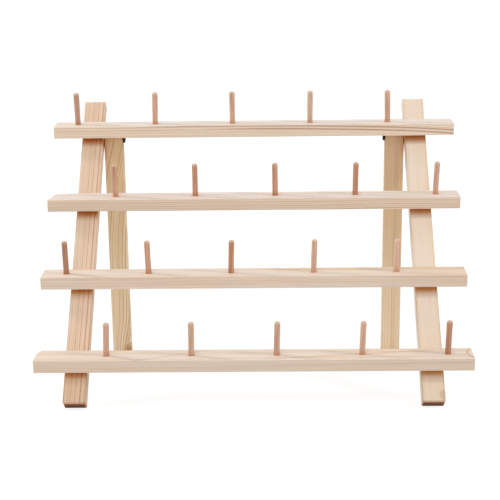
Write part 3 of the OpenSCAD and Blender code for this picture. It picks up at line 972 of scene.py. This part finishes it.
inset = number(peg_tree, "MULTIPLY", inset, size["Tip rounding"])
girth = number(peg_tree, "SUBTRACT", size["Radius"], inset)
circle = result(peg_tree, "GeometryNodeCurvePrimitiveCircle", {"Resolution": PEG_SIDES, "Radius": 1.0})
turned = {"Curve": stem, "Profile Curve": circle, "Scale": girth, "Fill Caps": True}
peg = result(peg_tree, "GeometryNodeCurveToMesh", turned)
smooth = result(peg_tree, "GeometryNodeSetShadeSmooth", {"Geometry": peg})
in_mm = vector(peg_tree, "MULTIPLY", result(peg_tree, "GeometryNodeInputPosition"), (1 / MM,) * 3)
peg = stored(peg_tree, smooth, "peg_place", in_mm, "POINT", "FLOAT_VECTOR")
print("one peg takes", len(peg_tree.nodes), "nodes")

# %% [markdown]
# Then the tree sets out a line of points and plants a copy on each. Nobody drills twenty holes quite true or
# finds twenty dowels of one colour. So every copy leans a little its own way, is spun to show another side
# of the grain, and gets its own tone and greyness. All of these are random draws from one fixed seed.

# %% Plant a row of pegs
FORWARD_LEAN = 0.3
spots = {"Count": size["Count"], "Start Location": size["First peg"], "Offset": size["Step"]}
feet = result(peg_tree, "GeometryNodeMeshLine", spots)


def drawn(low, high, later):
    """A random number for each peg. Draws that differ in later don't follow each other."""
    limits = {2: low, 3: high, "Seed": number(peg_tree, "ADD", size["Seed"], later)}
    return add(peg_tree, "FunctionNodeRandomValue", limits, data_type="FLOAT").outputs[1]


def as_rotation(**angles):
    """A rotation from angles about X, Y and Z."""
    return result(peg_tree, "FunctionNodeEulerToRotation", {"Euler": point(peg_tree, **angles)})


lean_share = drawn(-FORWARD_LEAN, FORWARD_LEAN, later=20.0)
forward = number(peg_tree, "MULTIPLY_ADD", lean_share, size["Lean"], size["Slope"])
sideways = number(peg_tree, "MULTIPLY", drawn(-1.0, 1.0, later=35.0), size["Lean"])
spin = as_rotation(Z=drawn(0.0, math.tau, later=0.0))
stance = {"Rotation": as_rotation(X=forward, Y=sideways), "Rotate By": spin}
stance = result(peg_tree, "FunctionNodeRotateRotation", stance, rotation_space="LOCAL")
planting = {"Points": feet, "Instance": peg, "Rotation": stance}
row_of_pegs = result(peg_tree, "GeometryNodeInstanceOnPoints", planting)
for label, later in (("peg_tone", 50.0), ("peg_grey", 65.0)):
    row_of_pegs = stored(peg_tree, row_of_pegs, label, drawn(0.0, 1.0, later), "INSTANCE")
finish_tree(peg_tree, row_of_pegs, size["Material"], way_out)
print("peg tree has", len(peg_tree.nodes), "nodes")

# %% [markdown]
# Every other rail is turned end for end, which staggers the pegs from row to row. The first and the last peg
# of a row are measured on their CAD nodes, so the tree only needs a start and a step. Each row has a seed of
# its own. Many were tried, and the one kept gives leans and tones close to those of the real row.

# %% Plant the pegs on the rails
PEG_RADIUS = 2.7 * MM
PEG_HEIGHT = 32.0 * MM
PEG_SUNK = 3.0 * MM
PEG_TIP = 2.1 * MM
PEG_LEAN = math.radians(2.4)
PEGS_PER_RAIL = 5
PEG_SEEDS = {"bottom": 158220, "lower": 61394, "upper": 128724, "top": 39226}


def peg_foot(node):
    """Where a peg's axis leaves the top of its rail."""
    low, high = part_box(node)
    upright = Matrix.Rotation(-RAIL_SLOPE, 3, "X")
    top = max((upright @ vertex.co).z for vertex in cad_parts[node].data.vertices)
    middle = upright @ Vector(((low.x + high.x) / 2, (low.y + high.y) / 2, (low.z + high.z) / 2))
    return upright.transposed() @ Vector((middle.x, middle.y, top - PEG_HEIGHT))


for row in ROWS:
    nodes = [f"peg_{row}_{count + 1}" for count in range(PEGS_PER_RAIL)]
    first, last = peg_foot(nodes[0]), peg_foot(nodes[-1])
    step = (last - first) / (PEGS_PER_RAIL - 1)
    pegs = made_by(peg_tree, f"pegs_{row}", {
        "Count": PEGS_PER_RAIL, "First peg": first, "Step": step, "Slope": RAIL_SLOPE, "Lean": PEG_LEAN,
        "Radius": PEG_RADIUS, "Height": PEG_HEIGHT, "Sunk": PEG_SUNK, "Tip rounding": PEG_TIP,
        "Seed": PEG_SEEDS[row], "Material": dowel_wood})
    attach(pegs, "front_frame")
    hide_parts(*nodes)
    print(pegs.name, "stand", round(step.length / MM, 1), "mm apart,", len(pegs.data.polygons), "faces")

# %% [markdown]
# The hardware is small and mostly hidden: a barrel nut inside each rear leg, coated in satin black, and the
# bolts, washers and screws, which are plated with zinc. Their CAD shapes are right, with hex sockets and
# cross slots, so they stay and only get better finishes. Coating and plating are both cloudy and finely
# scratched, so one function makes both. Only the plated steel shines as bare metal does.

# %% Metal finishes
CLOUD_SCALE = 260.0
CLOUD_DETAIL = 3.0
CLOUD_FADE = (0.35, 0.68)
SCRATCH_SCALE = (600, 5200, 5200)
SCRATCH_SEED = 4
SCRATCH_SHARE = 0.6
STEEL_RELIEF = {"Strength": 0.12, "Distance": 0.02 * MM}


def steel(name, dark, bright, roughness, grain, metallic, gloss):
    """Coated or plated steel with cloudy patches and fine scratches."""
    finish, tree, surface = new_finish(name)
    place = add(tree, "ShaderNodeTexCoord").outputs["Object"]
    clouds = {"Vector": place, "Scale": CLOUD_SCALE, "Detail": CLOUD_DETAIL}
    cloud = result(tree, "ShaderNodeTexNoise", clouds)
    scratch = scaled_noise(tree, place, SCRATCH_SCALE, SCRATCH_SEED)[0]
    tree.links.new(mixed(tree, faded(tree, cloud, *CLOUD_FADE), dark, bright), surface["Base Color"])
    haze = number(tree, "MULTIPLY_ADD", cloud, grain, roughness)
    haze = number(tree, "MULTIPLY_ADD", scratch, grain * SCRATCH_SHARE, haze)
    tree.links.new(haze, surface["Roughness"])
    tree.links.new(result(tree, "ShaderNodeBump", {"Height": scratch, **STEEL_RELIEF}), surface["Normal"])
    surface["Metallic"].default_value = metallic
    surface["Specular IOR Level"].default_value = gloss
    return finish


black_steel = steel("satin_black_steel", colour(10, 9, 9), colour(22, 20, 20),
                    roughness=0.5, grain=0.2, metallic=0.0, gloss=0.15)
zinc_steel = steel("zinc_plated_steel", colour(168, 170, 172), colour(206, 207, 206),
                   roughness=0.22, grain=0.24, metallic=1.0, gloss=0.5)
for side in SIDES:
    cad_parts[f"barrel_nut_{side}"].material_slots[0].material = black_steel
    for node in ("pivot_bolt", "pivot_washer", "rail_screws"):
        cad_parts[f"{node}_{side}"].material_slots[0].material = zinc_steel
print("metal finishes:", black_steel.name, zinc_steel.name)
